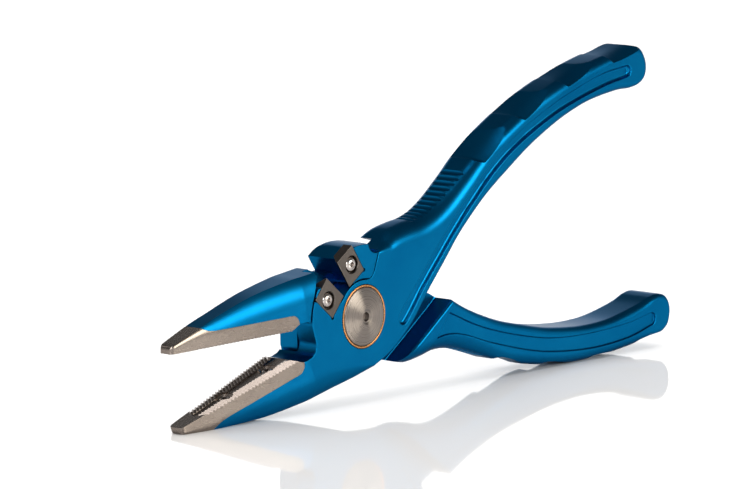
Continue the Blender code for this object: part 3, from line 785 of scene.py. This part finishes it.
def turned_metal(name, dark, light):
    """Face-turned metal: fine rings round the pivot's axis and a radial sheen."""
    mat, tree, shader = nodes_of(name)
    shader.inputs["Metallic"].default_value = 1.0
    shader.inputs["Anisotropic"].default_value = 0.92
    shader.inputs["Anisotropic Rotation"].default_value = 0.25
    tangent = tree.nodes.new("ShaderNodeTangent")
    tangent.direction_type = "RADIAL"
    tangent.axis = "Y"
    tree.links.new(tangent.outputs["Tangent"], shader.inputs["Tangent"])
    where = tree.nodes.new("ShaderNodeTexCoord")
    centred = tree.nodes.new("ShaderNodeVectorMath")
    centred.operation = "SUBTRACT"
    centred.inputs[1].default_value = PIVOT
    flat = tree.nodes.new("ShaderNodeVectorMath")
    flat.operation = "MULTIPLY"
    flat.inputs[1].default_value = (1, 0, 1)
    length = tree.nodes.new("ShaderNodeVectorMath")
    length.operation = "LENGTH"
    tree.links.new(where.outputs["Object"], centred.inputs[0])
    tree.links.new(centred.outputs[0], flat.inputs[0])
    tree.links.new(flat.outputs[0], length.inputs[0])
    rings = tree.nodes.new("ShaderNodeTexNoise")
    rings.noise_dimensions = "1D"
    rings.inputs["Scale"].default_value = 5000
    rings.inputs["Detail"].default_value = 3
    tree.links.new(length.outputs["Value"], rings.inputs["W"])
    tree.links.new(mix(tree, ramp(tree, rings.outputs["Fac"], 0, 1), dark, light),
                   shader.inputs["Base Color"])
    tree.links.new(ramp(tree, rings.outputs["Fac"], 0.26, 0.36), shader.inputs["Roughness"])
    bump(tree, shader, rings.outputs["Fac"], 0.35, 0.000004)
    return mat


# The lighter, greener blue on the edges is a painted edge highlight, together with wear
BLUE, _, blue_shader = metal("blue_anodised", (0.001, 0.135, 0.335), (0.002, 0.165, 0.38),
                             (0.29, 0.37), 5200, bump_height=0.000006,
                             edge_highlight_and_wear_colour=(0.002, 0.22, 0.48), strength=0.35)
blue_shader.inputs["Specular Tint"].default_value = (0.5, 0.48, 0.46, 1)
STEEL = metal("satin_stainless", (0.24, 0.20, 0.175), (0.29, 0.245, 0.215), (0.255, 0.28), 2600,
              stretch=(0.12, 1, 1), bump_height=0.0000001, strength=0.1)[0]
SCREW = metal("polished_screw_steel", (0.55, 0.50, 0.47), (0.68, 0.63, 0.6), (0.14, 0.22), 2500,
              bump_height=0.000001, strength=0.2)[0]
# The pale grey on the carbide's edges is a painted edge highlight, together with wear
CARBIDE = metal("ground_carbide", (0.105, 0.09, 0.08), (0.155, 0.135, 0.12), (0.3, 0.4), 3000,
                stretch=(1, 1, 0.15), bump_height=0.000001, edge_highlight_and_wear_colour=(0.4, 0.36, 0.33))[0]
BRONZE = metal("bearing_bronze", (0.50, 0.22, 0.08), (0.62, 0.29, 0.12), (0.22, 0.32), 2200,
               bump_height=0.000002)[0]
SPRING = metal("spring_wire", (0.25, 0.25, 0.26), (0.38, 0.38, 0.4), (0.2, 0.32), 2600)[0]
TURNED = turned_metal("face_turned_stainless", (0.22, 0.19, 0.17), (0.33, 0.29, 0.26))

SEAL, seal_tree, seal_shader = nodes_of("black_seal_rubber")
seal_grain = noise(seal_tree, 1800, 3)
seal_tree.links.new(mix(seal_tree, seal_grain, (0.012, 0.012, 0.012), (0.03, 0.03, 0.03)),
                    seal_shader.inputs["Base Color"])
seal_tree.links.new(ramp(seal_tree, seal_grain, 0.6, 0.8), seal_shader.inputs["Roughness"])
bump(seal_tree, seal_shader, seal_grain, 0.4, 0.00002)


# Placing

def place(obj, half, mat, slot, *nodes):
    """Set a piece at its rest angle in metres; it rides on its half in place of the CAD nodes."""
    turn = Matrix.Rotation(-math.radians(REST_ANGLE[half]), 4, "Y")
    obj.data.transform(Matrix.Translation(PIVOT) @ turn @ Matrix.Scale(MM, 4))
    obj.data.materials.clear()
    obj.data.materials.append(mat)
    obj.data.shade_smooth()
    obj.data.set_sharp_from_angle(angle=math.radians(SHARP_ANGLE))
    weighted = obj.modifiers.new("Weighted", "WEIGHTED_NORMAL")
    weighted.keep_sharp = True
    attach(obj, half + "_half")
    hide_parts(*nodes)


blank, rough_insert = lever()
finish_insert(rough_insert)

front = duplicate(blank, "front_lever")
combine(front, notch())
cutter_pocket(front, 1)
place(front, "front", BLUE, "blue_aluminium", "front_frame")

rear = turn_over(duplicate(blank, "rear_lever"))
combine(rear, lug(), "UNION")
combine(rear, wire_gap())
cutter_pocket(rear, -1)
place(rear, "rear", BLUE, "blue_aluminium", "rear_frame")
bpy.data.objects.remove(blank, do_unlink=True)

upper = turn_over(duplicate(rough_insert, "upper_grip_insert"))
place(upper, "rear", STEEL, "satin_steel", "upper_jaw_insert")
rough_insert.name = "lower_grip_insert"
place(rough_insert, "front", STEEL, "satin_steel", "lower_jaw_insert")

for x, spot in zip(JAW_SCREW_X, ("tip", "root")):
    place(jaw_screw("lower_insert_screw_" + spot, x), "front", SCREW, "screw_steel",
          "lower_jaw_screw_" + spot)
    place(turn_over(jaw_screw("upper_insert_screw_" + spot, x)), "rear", SCREW, "screw_steel",
          "upper_jaw_screw_" + spot)

place(cutter("front_carbide_cutter", 1), "front", CARBIDE, "carbide", "front_cutter")
place(cutter("rear_carbide_cutter", -1), "rear", CARBIDE, "carbide", "rear_cutter")
place(cutter_screw("front_cutter_button_screw", 1), "front", SCREW, "screw_steel",
      "front_cutter_screw")
place(cutter_screw("rear_cutter_button_screw", -1), "rear", SCREW, "screw_steel",
      "rear_cutter_screw")

place(pivot_bolt(), "front", TURNED, "turned_steel", "pivot_bolt")
place(pivot_nut(), "front", TURNED, "turned_steel", "pivot_nut")
place(bushing("front_bronze_bushing"), "front", BRONZE, "bronze", "front_bushing")
place(turn_over(bushing("rear_bronze_bushing")), "rear", BRONZE, "bronze", "rear_bushing")

# Pieces inside the joint keep their CAD shape
for node, mat, slot_name in (("spring_spacer", BRONZE, "bronze"),
                             ("return_spring", SPRING, "spring_steel"),
                             ("pivot_seal", SEAL, "seal_rubber"),
                             ("front_spring_pin", SCREW, "screw_steel"),
                             ("rear_spring_pin", SCREW, "screw_steel")):
    inner_part = frame["nodes"][node]
    inner_part.data.materials.clear()
    inner_part.data.materials.append(mat)


# Studio

def studio_floor():
    """Pale glossy sheet: matt white with a weak, slightly blurred mirror in it."""
    bm = bmesh.new()
    bmesh.ops.create_grid(bm, x_segments=8, y_segments=8, size=40)
    obj = from_bmesh(bm, "studio_floor")
    mat = bpy.data.materials.new("white_gloss_acrylic")
    mat.use_nodes = True
    tree = mat.node_tree
    tree.nodes.remove(tree.nodes["Principled BSDF"])
    matt = tree.nodes.new("ShaderNodeBsdfDiffuse")
    gloss = tree.nodes.new("ShaderNodeBsdfGlossy")
    blend = tree.nodes.new("ShaderNodeMixShader")
    tree.links.new(mix(tree, noise(tree, 3, 2), (0.80, 0.785, 0.775), (0.82, 0.805, 0.795)),
                   matt.inputs["Color"])
    tree.links.new(ramp(tree, noise(tree, 25, 3), 0.04, 0.06), gloss.inputs["Roughness"])
    gloss.inputs["Color"].default_value = (1, 1, 1, 1)
    blend.inputs["Fac"].default_value = 0.25
    tree.links.new(matt.outputs[0], blend.inputs[1])
    tree.links.new(gloss.outputs[0], blend.inputs[2])
    tree.links.new(blend.outputs[0], tree.nodes["Material Output"].inputs["Surface"])
    obj.data.materials.append(mat)


def soft_box(name, direction, distance, size, radiance, glossy=True, tint=(1, 1, 1)):
    """Area light that faces the object from a direction; radiance sets its brightness."""
    light = bpy.data.lights.new(name, "AREA")
    light.shape = "RECTANGLE"
    light.size, light.size_y = size
    light.energy = radiance * math.pi * size[0] * size[1]
    light.color = tint
    obj = bpy.data.objects.new(name, light)
    way = Vector(direction).normalized()
    obj.location = Vector((0, 0, 0.04)) + way * distance
    obj.rotation_euler = way.to_track_quat("Z", "Y").to_euler()
    obj.visible_camera = False
    obj.visible_glossy = glossy
    bpy.context.scene.collection.objects.link(obj)


def studio_world():
    """Bright white backdrop low behind the tool, a dimmer room round it, dark overhead."""
    toward_backdrop = (0.753, 0.658, 0)
    room = 0.11
    world = bpy.data.worlds.new("studio")
    bpy.context.scene.world = world
    world.use_nodes = True
    tree = world.node_tree
    where = tree.nodes.new("ShaderNodeTexCoord")
    split = tree.nodes.new("ShaderNodeSeparateXYZ")
    tree.links.new(where.outputs["Generated"], split.inputs["Vector"])
    toward = tree.nodes.new("ShaderNodeVectorMath")
    toward.operation = "DOT_PRODUCT"
    toward.inputs[1].default_value = toward_backdrop
    tree.links.new(where.outputs["Generated"], toward.inputs[0])
    band = ramp(tree, split.outputs["Z"], 1.0, 0.0, 0.34, 0.52)
    behind = ramp(tree, toward.outputs["Value"], 0.40, BACKDROP, 0.80, 0.97)
    total = tree.nodes.new("ShaderNodeMath")
    total.operation = "MULTIPLY_ADD"
    total.inputs[2].default_value = room
    tree.links.new(band, total.inputs[0])
    tree.links.new(behind, total.inputs[1])
    tree.links.new(total.outputs[0], tree.nodes["Background"].inputs["Strength"])
    tree.nodes["Background"].inputs["Color"].default_value = (1, 1, 1, 1)


studio_floor()
studio_world()
soft_box("key_light", (0.2955, -0.9095, 0.30), 1.2, (0.75, 0.42), 6.5, tint=(1, 0.97, 0.86))
soft_box("top_light", (-0.42, -0.06, 0.9), 1.2, (0.4, 0.4), 4.5)
soft_box("front_card", (-0.80, -0.49, 0.31), 1.0, (0.45, 0.4), 5.5)
soft_box("overhead_fill", (0.3, 0.3, 1.0), 2.2, (3.6, 3.6), 1.6, glossy=False)
soft_box("floor_pool", (-0.05, -0.15, 1.0), 0.7, (0.4, 0.4), 0.6, glossy=False)

# The camera stands and looks as the photograph's did: its axes, and its place from the pivot
camera = bpy.data.objects.new("camera", bpy.data.cameras.new("camera"))
bpy.context.scene.collection.objects.link(camera)
camera.data.lens = 192.0
camera.data.sensor_width = 36.0
camera.data.clip_start, camera.data.clip_end = 0.05, 60
right = Vector((0.65838861, -0.7526571, 0.0056325))
up = Vector((0.09775156, 0.09292353, 0.99086318))
back = Vector((-0.7463036, -0.65182245, 0.1347532))
camera.matrix_world = (Matrix.Translation(PIVOT + Vector((-0.755387, -0.669444, 0.155209)))
                       @ Matrix((right, up, back)).transposed().to_4x4())
bpy.context.scene.camera = camera
bpy.context.scene.view_settings.view_transform = "Standard"
